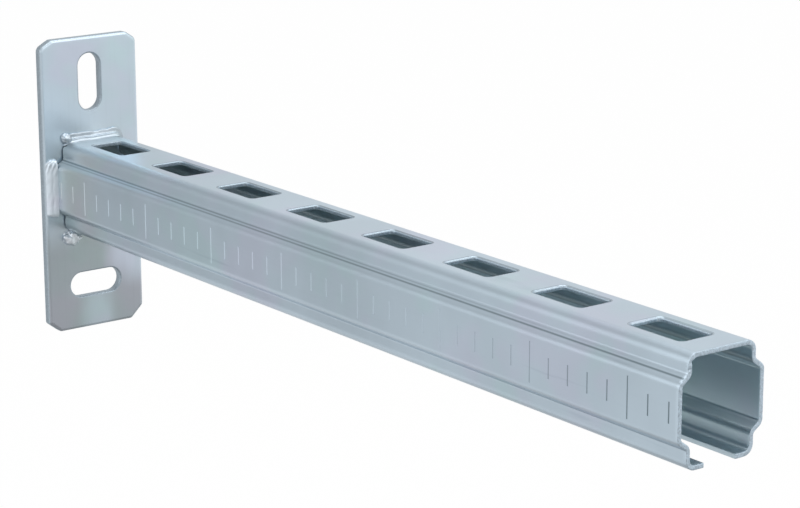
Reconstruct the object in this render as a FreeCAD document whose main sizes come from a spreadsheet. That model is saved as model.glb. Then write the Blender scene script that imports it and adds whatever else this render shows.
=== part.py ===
# Cantilever strut arm: a slotted cold-formed channel welded square to a slotted wall plate.
# Millimetres. X runs out from the wall, Y sideways, Z up.
# The origin is the middle of the plate's back face, level with the middle of the arm.
import FreeCAD, Part
import math
import os
import Sketcher
from FreeCAD import Placement, Rotation, Vector

# Sizes: alias, millimetres (or a plain count), meaning
SIZES = [
    ("plate_width", 48.0, "wall plate, side to side"),
    ("plate_height", 131.0, "wall plate, top to bottom"),
    ("plate_thickness", 4.0, "wall plate, back to front"),
    ("plate_top_cut", 4.0, "cut corners at the plate's top"),
    ("plate_bottom_cut", 5.5, "cut corners at the plate's bottom"),
    ("plate_rim_easing", 0.4, "easing of the plate's front rims"),
    ("fixing_slot_length", 25.5, "both fixing slots, end to end"),
    ("fixing_slot_width", 11.5, "both fixing slots, across"),
    ("fixing_slot_margin", 20.0, "slot middle from the plate's nearer end"),
    ("arm_length", 400.0, "channel, from the plate's face to the tip"),
    ("section_height", 40.0, "channel, web to lips, outside"),
    ("section_width", 38.0, "channel across its wide middle, outside"),
    ("neck_width", 30.0, "channel across its narrow top and bottom, outside"),
    ("sheet_thickness", 1.75, "channel sheet"),
    ("upper_neck_end", 13.2, "level where the upper step begins, above the middle"),
    ("upper_side_end", 10.2, "level where the upper step reaches the side"),
    ("lower_side_end", 9.7, "level where the lower step leaves the side, below the middle"),
    ("lower_neck_end", 12.6, "level where the lower step ends, below the middle"),
    ("corner_bend", 4.0, "outer radius of the web and lip corners"),
    ("step_bend", 3.0, "outer radius of the steps' outward bends"),
    ("step_root", 1.25, "outer radius of the steps' inward bends"),
    ("lip_opening", 14.0, "gap between the two lips"),
    ("web_slot_length", 26.0, "web slot along the arm"),
    ("web_slot_width", 14.75, "web slot across the arm"),
    ("web_slot_corner", 2.0, "corner radius of the web slots"),
    ("web_slot_start", 25.0, "first web slot's middle from the plate's face"),
    ("web_slot_pitch", 50.0, "spacing of the web slots"),
    ("mark_spacing", 10.0, "spacing of the graduation marks"),
    ("mark_shift", 0.5, "long mark beyond its web slot's middle"),
    ("mark_width", 0.7, "graduation mark along the arm"),
    ("mark_depth", 0.15, "graduation mark into the sheet"),
    ("long_mark", 15.0, "height of every fifth mark"),
    ("short_mark", 7.5, "height of the other marks"),
    ("top_bead", 3.5, "leg of the weld across the web"),
    ("top_bead_run", 25.0, "straight run of the weld across the web"),
    ("side_bead", 3.4, "leg of the welds down the sides"),
    ("side_bead_run", 17.2, "straight run of the welds down the sides"),
    ("side_bead_foot", 7.2, "side weld's lower run end, below the middle"),
    ("tack", 4.4, "leg of the tacks under the lips"),
    ("tack_run", 2.0, "straight run of the tacks under the lips"),
    ("tack_middle", 12.0, "tack middle from the arm's centre plane"),
]

# Long mark in the middle of each group of five
MARK_STEPS = (-2, -1, 0, 1, 2)

# Web slots that fit on the arm after the first one
MORE_SLOTS = "floor(( arm_length - web_slot_start - web_slot_length / 2 ) / web_slot_pitch )"

# Fixing slot middle, above or below the plate's middle
SLOT_LEVEL = "( plate_height / 2 - fixing_slot_margin )"

doc = FreeCAD.newDocument("strut_arm")


def make_sheet():
    """Spreadsheet that drives every sketch, feature and primitive."""
    table = doc.addObject("Spreadsheet::Sheet", "Sizes")
    for row, (alias, value, meaning) in enumerate(SIZES, start=1):
        table.set("A%d" % row, alias)
        table.set("B%d" % row, str(value))
        table.setAlias("B%d" % row, alias)
        table.set("C%d" % row, meaning)
    doc.recompute()
    return table


sheet = make_sheet()


def worth(formula):
    """Present value of a formula written with the sheet's aliases."""
    value = sheet.evalExpression(formula)
    return float(getattr(value, "Value", value))


def tied(formula):
    """The same formula as seen from another object."""
    aliases = {alias for alias, _, _ in SIZES}
    words = formula.split(" ")
    return " ".join("Sizes." + word if word in aliases else word for word in words)


def origin_part(body, role):
    """One of a body's own origin planes or axes."""
    return next(item for item in body.Origin.OriginFeatures if item.Role == role)


def sketch_on(body, name, role, lift=None):
    """Empty sketch on an origin plane, lifted along its normal by a formula."""
    sketch = body.newObject("Sketcher::SketchObject", name)
    sketch.AttachmentSupport = [(origin_part(body, role), "")]
    sketch.MapMode = "FlatFace"
    if lift:
        sketch.setExpression("AttachmentOffset.Base.z", tied(lift))
    return sketch


def dimension(sketch, formula, kind, *where):
    """Driving dimension tied to the sheet."""
    index = sketch.addConstraint(Sketcher.Constraint(kind, *where, worth(formula)))
    sketch.setExpression("Constraints[%d]" % index, tied(formula))


def place(sketch, geo, end, across, up):
    """Fixes a point by its distances from the sketch origin, either of which may be None."""
    for kind, formula in (("DistanceX", across), ("DistanceY", up)):
        if formula:
            dimension(sketch, formula, kind, -1, 1, geo, end)


def add_outline(sketch, corners):
    """Closed chain of straight lines through corner positions given as pairs of formulas."""
    points = [Vector(worth(across), worth(up), 0) for across, up in corners]
    loop = points[1:] + points[:1]
    lines = [sketch.addGeometry(Part.LineSegment(a, b), False) for a, b in zip(points, loop)]
    for first, second in zip(lines, lines[1:] + lines[:1]):
        sketch.addConstraint(Sketcher.Constraint("Coincident", first, 2, second, 1))
    return lines


def add_rectangle(sketch, left, right, bottom, top):
    """Upright rectangle between four formulas."""
    corners = [(left, bottom), (right, bottom), (right, top), (left, top)]
    lines = add_outline(sketch, corners)
    for line in lines[0::2]:
        sketch.addConstraint(Sketcher.Constraint("Horizontal", line))
    for line in lines[1::2]:
        sketch.addConstraint(Sketcher.Constraint("Vertical", line))
    place(sketch, lines[0], 1, left, bottom)
    place(sketch, lines[2], 1, right, top)


def add_arc(sketch, across, up, radius, start, end):
    """Arc about a point between two angles in degrees."""
    circle = Part.Circle(Vector(across, up, 0), Vector(0, 0, 1), radius)
    arc = Part.ArcOfCircle(circle, math.radians(start), math.radians(end))
    return sketch.addGeometry(arc, False)


def add_round_slot(sketch, middle_up, upright):
    """Fixing slot with full round ends, centred at a height above the plate's middle."""
    level = worth(middle_up)
    radius = worth("fixing_slot_width / 2")
    reach = worth("( fixing_slot_length - fixing_slot_width ) / 2")
    along, aside = (Vector(0, 1, 0), Vector(-1, 0, 0)) if upright else (Vector(1, 0, 0), Vector(0, 1, 0))
    middle = Vector(0, level, 0)
    turn = 90 if upright else 0
    first = middle + along * reach
    last = middle - along * reach
    side = sketch.addGeometry(Part.LineSegment(last - aside * radius, first - aside * radius), False)
    head = add_arc(sketch, first.x, first.y, radius, turn - 90, turn + 90)
    back = sketch.addGeometry(Part.LineSegment(first + aside * radius, last + aside * radius), False)
    foot = add_arc(sketch, last.x, last.y, radius, turn + 90, turn + 270)
    for one, one_end, other, other_end in (
        (side, 2, head, 1), (head, 2, back, 1), (back, 2, foot, 1), (foot, 2, side, 1),
    ):
        sketch.addConstraint(Sketcher.Constraint("Tangent", one, one_end, other, other_end))
    sketch.addConstraint(Sketcher.Constraint("Equal", head, foot))
    dimension(sketch, "fixing_slot_width / 2", "Radius", head)
    half_reach = "( fixing_slot_length - fixing_slot_width ) / 2"
    if upright:
        sketch.addConstraint(Sketcher.Constraint("PointOnObject", head, 3, -2))
        sketch.addConstraint(Sketcher.Constraint("PointOnObject", foot, 3, -2))
        place(sketch, head, 3, None, middle_up + " + " + half_reach)
        place(sketch, foot, 3, None, middle_up + " - " + half_reach)
    else:
        place(sketch, head, 3, half_reach, middle_up)
        place(sketch, foot, 3, "- " + half_reach, middle_up)


def add_rounded_rectangle(sketch, middle, length, width, radius):
    """Rectangle with round corners, centred on the sketch's across axis."""
    centre = worth(middle)
    corner = worth(radius)
    half_long = worth(length) / 2
    half_wide = worth(width) / 2
    near = centre - half_long + corner
    far = centre + half_long - corner
    low = corner - half_wide
    high = half_wide - corner
    lines = []
    for a, b in (
        ((near, -half_wide), (far, -half_wide)), ((centre + half_long, low), (centre + half_long, high)),
        ((far, half_wide), (near, half_wide)), ((centre - half_long, high), (centre - half_long, low)),
    ):
        lines.append(sketch.addGeometry(Part.LineSegment(Vector(*a, 0), Vector(*b, 0)), False))
    arcs = [
        add_arc(sketch, far, low, corner, 270, 360),
        add_arc(sketch, far, high, corner, 0, 90),
        add_arc(sketch, near, high, corner, 90, 180),
        add_arc(sketch, near, low, corner, 180, 270),
    ]
    for line, arc, after in zip(lines, arcs, lines[1:] + lines[:1]):
        sketch.addConstraint(Sketcher.Constraint("Tangent", line, 2, arc, 1))
        sketch.addConstraint(Sketcher.Constraint("Tangent", arc, 2, after, 1))
    for line, kind in zip(lines, ("Horizontal", "Vertical", "Horizontal", "Vertical")):
        sketch.addConstraint(Sketcher.Constraint(kind, line))
    for arc in arcs[1:]:
        sketch.addConstraint(Sketcher.Constraint("Equal", arcs[0], arc))
    dimension(sketch, radius, "Radius", arcs[0])
    place(sketch, lines[1], 1, middle + " + " + length + " / 2", None)
    place(sketch, lines[3], 1, middle + " - " + length + " / 2", None)
    place(sketch, lines[2], 1, None, width + " / 2")
    place(sketch, lines[0], 1, None, "- " + width + " / 2")


def pad(body, sketch, name, length):
    """Pad along the sketch normal."""
    feature = body.newObject("PartDesign::Pad", name)
    feature.Profile = sketch
    feature.setExpression("Length", tied(length))
    return settled(feature)


def pocket(body, sketch, name, depth=None):
    """Pocket against the sketch normal, through everything when no depth is given."""
    feature = body.newObject("PartDesign::Pocket", name)
    feature.Profile = sketch
    if depth:
        feature.setExpression("Length", tied(depth))
    else:
        feature.Type = "ThroughAll"
    return settled(feature)


def settled(feature):
    """Recomputes so that the feature's edges and faces can be looked up."""
    doc.recompute()
    return feature


def names_where(feature, kind, wanted):
    """Names of the faces or edges that pass a test."""
    items = feature.Shape.Faces if kind == "Face" else feature.Shape.Edges
    return ["%s%d" % (kind, number) for number, item in enumerate(items, start=1) if wanted(item)]


def runs_along_x(edge):
    """True for a straight edge parallel to the arm."""
    box = edge.BoundBox
    return box.XLength > 0.1 and box.YLength < 1e-6 and box.ZLength < 1e-6


def dress(body, base, kind, name, edges, prop, formula):
    """Fillet or chamfer of named edges."""
    feature = body.newObject("PartDesign::" + kind, name)
    feature.Base = (base, edges)
    feature.setExpression(prop, tied(formula))
    return settled(feature)


def make_wall_plate():
    """Flat bar with cut corners, an upright slot above and a level slot below the arm."""
    body = doc.addObject("PartDesign::Body", "wall_plate")
    blank = sketch_on(body, "plate_outline", "YZ_Plane")
    add_rectangle(
        blank, "- plate_width / 2", "plate_width / 2", "- plate_height / 2", "plate_height / 2"
    )
    bar = pad(body, blank, "plate_bar", "plate_thickness")
    top = names_where(bar, "Edge", lambda e: runs_along_x(e) and e.CenterOfMass.z > 0)
    cut = dress(body, bar, "Chamfer", "top_corners", top, "Size", "plate_top_cut")
    low = names_where(cut, "Edge", lambda e: runs_along_x(e) and e.CenterOfMass.z < 0)
    cut = dress(body, cut, "Chamfer", "bottom_corners", low, "Size", "plate_bottom_cut")
    for name, level, upright in (
        ("upper_slot", SLOT_LEVEL, True), ("lower_slot", "- " + SLOT_LEVEL, False),
    ):
        sketch = sketch_on(body, name + "_outline", "YZ_Plane", "plate_thickness")
        add_round_slot(sketch, level, upright)
        cut = pocket(body, sketch, name)
    front = worth("plate_thickness")
    rims = names_where(
        cut, "Edge", lambda e: e.BoundBox.XLength < 1e-6 and abs(e.BoundBox.XMin - front) < 1e-6
    )
    dress(body, cut, "Chamfer", "front_rims", rims, "Size", "plate_rim_easing")
    return body


def add_section(sketch):
    """Outer outline of the stepped channel, the left half mirrored from the right."""
    right = [
        ("neck_width / 2", "section_height / 2"),
        ("neck_width / 2", "upper_neck_end"),
        ("section_width / 2", "upper_side_end"),
        ("section_width / 2", "- lower_side_end"),
        ("neck_width / 2", "- lower_neck_end"),
        ("neck_width / 2", "- section_height / 2"),
    ]
    left = [("- " + across, up) for across, up in reversed(right)]
    lines = add_outline(sketch, right + left)
    for index, (across, up) in enumerate(right):
        level_with_last = index in (1, 3, 5)
        place(sketch, lines[index], 1, None if level_with_last else across, up)
        sketch.addConstraint(Sketcher.Constraint("Symmetric", lines[index], 1, lines[11 - index], 1, -2))
    for line in lines[0:5:2]:
        sketch.addConstraint(Sketcher.Constraint("Vertical", line))


def bend_edges(feature, half_width, levels):
    """Long edges at a distance from the centre plane and at given heights."""
    aside = worth(half_width)
    heights = [worth(level) for level in levels]
    return names_where(
        feature, "Edge",
        lambda e: runs_along_x(e) and abs(abs(e.CenterOfMass.y) - aside) < 0.01
        and any(abs(e.CenterOfMass.z - height) < 0.01 for height in heights),
    )


def add_marks(sketch):
    """One group of five graduation marks around the first web slot."""
    for step in MARK_STEPS:
        height = "short_mark / 2" if step else "long_mark / 2"
        middle = "web_slot_start + mark_shift + %d * mark_spacing" % step
        add_rectangle(
            sketch, middle + " - mark_width / 2", middle + " + mark_width / 2",
            "- " + height, height,
        )


def make_channel():
    """Open channel: a stepped bar with bent corners, shelled, opened below and punched."""
    body = doc.addObject("PartDesign::Body", "channel")
    body.setExpression("Placement.Base.x", tied("plate_thickness"))
    outline = sketch_on(body, "section_outline", "YZ_Plane")
    add_section(outline)
    shape = pad(body, outline, "section_bar", "arm_length")
    for name, aside, levels, radius in (
        ("corner_bends", "neck_width / 2", ("section_height / 2", "- section_height / 2"), "corner_bend"),
        ("step_bends", "section_width / 2", ("upper_side_end", "- lower_side_end"), "step_bend"),
        ("step_roots", "neck_width / 2", ("upper_neck_end", "- lower_neck_end"), "step_root"),
    ):
        edges = bend_edges(shape, aside, levels)
        shape = dress(body, shape, "Fillet", name, edges, "Radius", radius)
    envelope = shape
    ends = names_where(shape, "Face", lambda f: f.BoundBox.XLength < 1e-6)
    shell = body.newObject("PartDesign::Thickness", "sheet_wall")
    shell.Base = (shape, ends)
    shell.Reversed = True
    shell.setExpression("Value", tied("sheet_thickness"))
    settled(shell)
    gap = sketch_on(body, "lip_gap_outline", "XY_Plane", "- section_height / 2 + 2 * sheet_thickness")
    add_rectangle(gap, "-1", "arm_length + 1", "- lip_opening / 2", "lip_opening / 2")
    pocket(body, gap, "lip_gap", "4 * sheet_thickness")
    slot = sketch_on(body, "web_slot_outline", "XY_Plane", "section_height / 2")
    add_rounded_rectangle(slot, "web_slot_start", "web_slot_length", "web_slot_width", "web_slot_corner")
    slot_cut = pocket(body, slot, "web_slot", "2 * sheet_thickness")
    marks = sketch_on(body, "mark_outline", "XZ_Plane", "section_width / 2")
    add_marks(marks)
    mark_cut = pocket(body, marks, "mark_group", "mark_depth")
    row = body.newObject("PartDesign::LinearPattern", "slot_and_mark_row")
    row.Originals = [slot_cut, mark_cut]
    row.Direction = (origin_part(body, "X_Axis"), [""])
    row.setExpression("Length", tied("web_slot_pitch * " + MORE_SLOTS))
    row.setExpression("Occurrences", tied("1 + " + MORE_SLOTS))
    body.Tip = row
    settled(row)
    return body, envelope


def outer_solid(envelope):
    """The unshelled bar, brought out of its body for the welds to lie against."""
    binder = doc.addObject("PartDesign::SubShapeBinder", "arm_envelope")
    binder.Support = [(envelope, ("",))]
    return settled(binder)


def primitive(kind, name, base, **sizes):
    """Part primitive with its sizes and position tied to the sheet."""
    solid = doc.addObject("Part::" + kind, name)
    for prop, formula in sizes.items():
        solid.setExpression(prop, tied(formula))
    for axis, formula in zip("xyz", base):
        if formula:
            solid.setExpression("Placement.Base." + axis, tied(formula))
    return solid


def make_bead(name, leg, length, start, end, turn, arm):
    """Half-round weld bead on the plate's face, with round ends, trimmed to the arm."""
    run = primitive("Cylinder", name + "_run", start, Radius=leg, Height=length)
    run.Angle = 180
    solids = [run]
    for suffix, base in (("_start", start), ("_end", end)):
        ball = primitive("Sphere", name + suffix, base, Radius=leg)
        ball.Angle3 = 180
        solids.append(ball)
    for solid in solids:
        solid.Placement.Rotation = turn
    rope = doc.addObject("Part::MultiFuse", name + "_rope")
    rope.Shapes = solids
    bead = doc.addObject("Part::Cut", name)
    bead.Base = rope
    bead.Tool = arm
    return settled(bead)


def mirrored(source, name):
    """The same weld on the other side of the arm."""
    twin = doc.addObject("Part::Mirroring", name)
    twin.Source = source
    twin.Normal = Vector(0, 1, 0)
    return settled(twin)


def make_welds(envelope):
    """One bead across the web, one down each side, one tack under each lip."""
    arm = outer_solid(envelope)
    joint = "plate_thickness"
    upright = Rotation(Vector(0, 0, 1), -90)
    across = Rotation(Vector(1, 0, 0), -90) * upright
    top = make_bead(
        "weld_top", "top_bead", "top_bead_run",
        (joint, "- top_bead_run / 2", "section_height / 2"),
        (joint, "top_bead_run / 2", "section_height / 2"), across, arm,
    )
    side = make_bead(
        "weld_side_near", "side_bead", "side_bead_run",
        (joint, "- section_width / 2", "- side_bead_foot"),
        (joint, "- section_width / 2", "- side_bead_foot + side_bead_run"), upright, arm,
    )
    tack = make_bead(
        "weld_tack_near", "tack", "tack_run",
        (joint, "- tack_middle - tack_run / 2", "- section_height / 2"),
        (joint, "- tack_middle + tack_run / 2", "- section_height / 2"), across, arm,
    )
    return [top, side, mirrored(side, "weld_side_far"), tack, mirrored(tack, "weld_tack_far")]


def check_and_export(parts):
    """Stops on any failed object, then writes one file per part."""
    doc.recompute()
    for item in doc.Objects:
        if "Invalid" in item.State or "Error" in item.State:
            raise RuntimeError("%s did not compute: %s" % (item.Name, item.State))
    os.makedirs("parts", exist_ok=True)
    for part in parts:
        if part.Shape.isNull() or not part.Shape.isValid():
            raise RuntimeError("%s has no valid shape" % part.Label)
        part.Shape.exportStep("parts/%s.step" % part.Label)
        print(part.Label, len(part.Shape.Solids), round(part.Shape.Volume, 2))


wall_plate = make_wall_plate()
channel, bent_bar = make_channel()
welds = make_welds(bent_bar)
check_and_export([wall_plate, channel] + welds)
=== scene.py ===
# Cantilever strut arm, dressed: zinc-plated channel, wall plate and weld beads.
# Metres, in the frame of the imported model: +X out along the arm, +Z up, the wall at X = 0.
import math
from collections import namedtuple

import bmesh
import bpy
import numpy as np
from mathutils import Matrix, Vector, noise
from mathutils.geometry import delaunay_2d_cdt


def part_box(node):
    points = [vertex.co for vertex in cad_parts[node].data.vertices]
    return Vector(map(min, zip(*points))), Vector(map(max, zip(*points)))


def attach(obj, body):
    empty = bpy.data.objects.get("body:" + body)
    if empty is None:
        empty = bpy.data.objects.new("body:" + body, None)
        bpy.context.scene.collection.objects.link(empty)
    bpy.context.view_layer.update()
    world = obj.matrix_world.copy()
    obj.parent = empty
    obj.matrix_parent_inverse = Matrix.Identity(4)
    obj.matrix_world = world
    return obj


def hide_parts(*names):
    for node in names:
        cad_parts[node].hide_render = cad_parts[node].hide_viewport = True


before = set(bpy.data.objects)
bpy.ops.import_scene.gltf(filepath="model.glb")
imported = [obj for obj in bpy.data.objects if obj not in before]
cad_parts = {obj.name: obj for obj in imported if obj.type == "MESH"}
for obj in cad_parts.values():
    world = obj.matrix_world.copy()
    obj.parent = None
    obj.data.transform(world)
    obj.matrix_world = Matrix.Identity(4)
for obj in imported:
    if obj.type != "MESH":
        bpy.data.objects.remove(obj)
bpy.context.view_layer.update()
MM = 0.001

# Places taken from the frame
PLATE_LOW, PLATE_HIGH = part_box("wall_plate")
ARM_LOW, ARM_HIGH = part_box("channel")
PLATE_FACE = PLATE_HIGH.x
ARM_TIP = ARM_HIGH.x
SIDE = ARM_HIGH.y
WEB_TOP = ARM_HIGH.z
LIP_BOTTOM = ARM_LOW.z

# Channel section
SHEET = 1.75 * MM
NECK = 15.0 * MM
UPPER_NECK_END = 13.2 * MM
UPPER_SIDE_END = 10.2 * MM
LOWER_SIDE_END = -9.7 * MM
LOWER_NECK_END = -12.6 * MM
CORNER_BEND = 4.0 * MM
STEP_BEND = 3.0 * MM
STEP_ROOT = 1.25 * MM
LIP_END = 7.0 * MM
SECTION_STEP = 0.3 * MM
ALONG_STEP = 8.0 * MM
ARC_STEP = math.radians(8)
ARC_PARTS = 4

# Which straights of the section, counted from the near lip, are the near side and the web
SIDE_STRAIGHT = 3
WEB_STRAIGHT = 6

# Painted shade lines along the steps' bends: distance from the step's root, depth of the shade at the wall
# and depth at the tip
UPPER_SHADE_LINES = ((0.85 * MM, 1.0, 0.35), (2.15 * MM, 0.7, 1.0))
LOWER_SHADE_LINES = ((0.2 * MM, 0.35, 0.5),)
SHADE_LINE_WIDTH = 0.8 * MM

# Painted shade inside the channel: how dark it is painted at the wall, and a painted shadow line at the
# upper step's bend
INNER_SHADE = 0.53
INNER_LINE = 0.75
INNER_LINE_WIDTH = 1.9 * MM

# Cut edges of the sheet
CUT_EASING = 0.22 * MM
EASING_STEPS = (0.0, 0.29, 1.0)
EDGE_ANGLES = (30, 60, 90)
LIP_POINTS = 2 * len(EDGE_ANGLES)
END_LINES = 3

# Rough end at the wall, which stands off the plate and is hollowed out beside the steps
WALL_REACH = 3.0 * MM
WALL_GAP = 0.62 * MM
WALL_JAG = 0.55 * MM
SLOW_JAG = 2.6 * MM
SLOW_SHARE = 0.6
QUICK_JAG = 0.9 * MM
WALL_HOLLOW = 1.3 * MM
HOLLOW_PLACE = (16.8 * MM, 12.8 * MM)
HOLLOW_SIZE = (1.7 * MM, 2.0 * MM)

# Sheared end at the tip, with a torn near corner
TIP_REACH = 1.6 * MM
TIP_JAG = 0.09 * MM
TIP_JAG_SIZE = 1.1 * MM
BURR_PLACE = (-15.0 * MM, 17.2 * MM)
BURR_SIZE = 3.0 * MM
BURR_DEPTH = 0.9 * MM
BURR_SPREAD = 0.25

# Web slots, whose plated rim rows lie above the bare punched wall
SLOT_COUNT = 8
SLOT_FIRST = PLATE_FACE + 25.0 * MM
SLOT_PITCH = 50.0 * MM
SLOT_LENGTH = 26.0 * MM
SLOT_WIDTH = 14.75 * MM
SLOT_CORNER = 2.0 * MM
SLOT_ROLLS = (0.4 * MM, 0.9 * MM)
SLOT_LINE = 0.3 * MM
# Painted shade on each of the slots' rim rows, a dark outline that holds back their highlight, and how much
# it weakens towards the tip
SLOT_RIM_SHADES = (0.0, 0.95, 0.68, 0.72, 0.68)
SLOT_SHADE_FADE = 0.4
SLOT_BREAK = 0.12 * MM
SLOT_BREAK_START = 0.3
SLOT_SHEARED = 0.62
SLOT_PLATED_ROWS = 4

# Graduation, whose marks get painted shade in their grooves, darker towards the tip
MARK_STEPS = (-2, -1, 0, 1, 2)
MARK_SPACING = 10.0 * MM
MARK_SHIFT = 0.5 * MM
MARK_WIDTH = 0.7 * MM
MARK_DEPTH = 0.25 * MM
MARK_BORDER = 0.25
GROOVE_SHADE_START = 0.5
GROOVE_SHADE_LEAST = 0.33
GROOVE_SHADE_RISE = 2.5
LONG_MARK = 15.0 * MM
SHORT_MARK = 7.5 * MM

# Wall plate, with the width and height of each cut corner, the far one first
TOP_CUTS = ((4.7 * MM, 3.2 * MM), (5.8 * MM, 3.2 * MM))
BOTTOM_CUTS = ((5.8 * MM, 5.6 * MM), (5.7 * MM, 4.4 * MM))
TOP_ROUND = 3.0 * MM
BOTTOM_ROUND = 1.8 * MM
PLATE_ROLL = (1.35 * MM, 0.95 * MM)
FIXING_ROLL = (0.75 * MM, 0.6 * MM)
PLATE_PLATED_ROWS = 3
PLATE_MIDDLE = 0.5
BACK_EASING = 0.25 * MM
FIXING_PLATED_ROWS = 1
FIXING_MIDDLE = 0.55
FIXING_BACK_START = 0.4
FIXING_PARTS = 12
FIXING_LENGTH = 25.3 * MM
FIXING_WIDTH = 11.0 * MM
FIXING_LEVEL = PLATE_HIGH.z - 20.0 * MM

# Weld beads: their two ends, their legs on the arm and on the plate, how full they are, their lengthwise
# ridges, how strong the ropes at their start are, and their lumps. A ridge has its angle up from the arm,
# its height in legs and its width, with the angles in degrees.
Bead = namedtuple("Bead", "run leg full ridges strand lump")
TOP_BEAD = Bead(
    run=(-14.6 * MM, 15.9 * MM), leg=(3.4 * MM, 4.2 * MM), full=0.27,
    ridges=((4, 0.16, 12), (29, 0.13, 9), (75, 0.27, 12)), strand=0.0, lump=0.07,
)
SIDE_BEAD = Bead(
    run=(13.4 * MM, -13.2 * MM), leg=(3.3 * MM, 4.8 * MM), full=0.53,
    ridges=((33, -0.035, 10),), strand=0.05, lump=0.02,
)
TOP_SEED = 1.0
SIDE_SEEDS = (7.0, 11.0)
SIDES = (("near", -1), ("far", 1))

# How far round the channel's upper bend the top bead follows it, and how much of the bend's fall it takes
DROP_LIMIT = 0.94
WEB_SEAT = 0.7

# Form of every bead: its rows and its rounded ends, and how its ridges, lumps and ropes vary
BEAD_STEP = 0.22 * MM
BEAD_LEAST_ROWS = 30
BEAD_TURNS = 36
BEAD_CAP = 0.75
CHORD_SHARE = 0.4
RIDGE_WANDER = 6
WANDER_SIZE = 5.0 * MM
RIDGE_FADE = 0.35
FADE_SIZE = 3.5 * MM
LUMP_SIZE = 2.6 * MM
ROPE_TURN = 32
ROPE_PITCH = 5.0 * MM
ROPE_REACH = 4.2 * MM

# Dabs of weld metal on the plate: their place, half sizes and lumps
Dab = namedtuple("Dab", "aside level size lump")
TOP_DAB = Dab(-13.1 * MM, 21.4 * MM, (3.0 * MM, 2.5 * MM, 2.7 * MM), 0.2)
TACK = Dab(11.4 * MM, -23.0 * MM, (3.1 * MM, 4.5 * MM, 3.5 * MM), 0.28)
DAB_SEED = 29.0
TACK_SEEDS = (17.0, 23.0)
DAB_LEAN = 6
DAB_TURNS = 48
DAB_LUMP_SIZE = 2.4 * MM
DAB_FINE_LUMP = 0.6

# Finishes: colour of the metal, stretch of its grain along the rolling direction, strength of the rolling
# streaks, least and most roughness, darkest and lightest share of the colour on a cut face and its grit,
# depth of the grain, strength of the scuffs, whether its lower part is darker and greyer, and how far
# from the joint the heat of welding fades from none to full
Finish = namedtuple(
    "Finish", "base rolling streaks roughness cut_shades cut_grit grain scuffs bloom heat",
    defaults=(1.0, 0.0, False, None),
)
# The plate's cut faces take about six tenths of its colour: the sheared metal's own duller tone, and
# painted shade on the fixing slots' walls
PLATE_ZINC = Finish(
    base=(0.65, 0.765, 0.855), rolling=(1, 1, 0.05), streaks=0.25, roughness=(0.33, 0.41),
    cut_shades=(0.58, 0.68), cut_grit=1.5, bloom=True, heat=(30 * MM, 16 * MM),
)
CHANNEL_ZINC = Finish(
    base=(0.545, 0.65, 0.735), rolling=(0.05, 1, 1), streaks=0.1, roughness=(0.30, 0.40),
    cut_shades=(0.89, 1.16), cut_grit=2.7, scuffs=0.5, heat=(50 * MM, 20 * MM),
)
# The weld metal comes in three copies that differ for how light falls on each weld: painted shade darkens
# the top bead's, and painted light lifts the side beads' and, most, the tacks'
WELD_DARKER_COPY = Finish(
    base=(0.50, 0.57, 0.63), rolling=(1, 1, 1), streaks=0.1, roughness=(0.30, 0.39),
    cut_shades=(1.0, 1.0), cut_grit=1.0, grain=0.2,
)
WELD_LIGHTER_COPY = WELD_DARKER_COPY._replace(base=(0.70, 0.78, 0.85), roughness=(0.40, 0.50), grain=0.3)
WELD_PALEST_COPY = WELD_LIGHTER_COPY._replace(base=(0.86, 0.91, 0.97), roughness=(0.44, 0.54))

# Noises of the zinc: features per metre, detail, stretch and a shift that sets them apart
Noise = namedtuple("Noise", "scale detail stretch shift")
EVEN = (1, 1, 1)
BROAD = Noise(16, 3, EVEN, 3.1)
STREAK = Noise(700, 4, EVEN, 1.0)
SPECK = Noise(1900, 3, EVEN, 5.0)
SCUFF = Noise(60, 3, (0.25, 1, 5), 9.0)
LOWER_DRIFT = Noise(60, 2, (1, 1, 0.4), 4.0)
ROSY = Noise(30, 2, EVEN, 7.7)
MOSSY = Noise(36, 2, EVEN, 12.9)

# Faint rosy and greenish patches: noise, range of the noise and shade
PATCHES = (
    (ROSY, (0.50, 0.66), (1.04, 0.975, 1.01)), (MOSSY, (0.52, 0.68), (0.97, 1.02, 0.985)),
)

# Ranges of noise or marks over which a shade comes in, and the shades
DRIFT_RANGE = (0.35, 0.65)
DRIFT_SHADES = (0.96, 1.03)
STREAK_RANGE = (0.50, 0.78)
STREAK_SHADE = (0.88, 0.88, 0.88)
SCUFF_RANGE = (0.66, 0.76)
SCUFF_SHADE = (0.80, 0.82, 0.84)
# Painted shade: where a vertex mark says so, the colour is blended towards a dark grey, for shade in the
# steps' bends, inside the channel, on the slots' rims and in the marks' grooves
PAINTED_SHADE_RANGE = (0.2, 0.95)
PAINTED_SHADE_MOST = 0.85
PAINTED_SHADE_COLOUR = (0.28, 0.32, 0.325)
# Painted light inside the channel: its colour is lifted and greened for the light that bounces in it
INNER_TINT = (1.035, 1.065, 1.02)
HEAT_SHADE = (1.0, 0.94, 0.88)
SPECK_RANGE = (0.35, 0.65)
SPECK_WIDE_RANGE = (0.25, 0.75)

# Roughness that the inside and a cut face add, and the heights of waves, streaks and grit
INNER_ROUGH = 0.06
CUT_ROUGH = 0.12
WAVE_HEIGHT = 0.5 * MM
STREAK_HEIGHT = 0.005 * MM
GRIT_HEIGHT = 0.012 * MM
GRIT_LEAST = 0.3
FINE_STRENGTH = 0.5

# Darker, greyer tone over the lower plate: its wavering upper edge and its colour
LOWER_EDGE_WAVER = 18 * MM
LOWER_EDGE = (2 * MM, -20 * MM)
LOWER_TONE = (0.70, 0.675, 0.645)

# Lighter spots in the darker tone: middle, half width, half height and how much of the darker tone stays
LIGHTER_SPOTS = (
    ((0, 18 * MM, -33 * MM), 13 * MM, 15 * MM, 0.05), ((0, 2 * MM, -62 * MM), 9 * MM, 16 * MM, 0.35),
)
SPOT_WAVER = 1.1
SPOT_EDGE = (0.9, 1.95)

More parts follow.
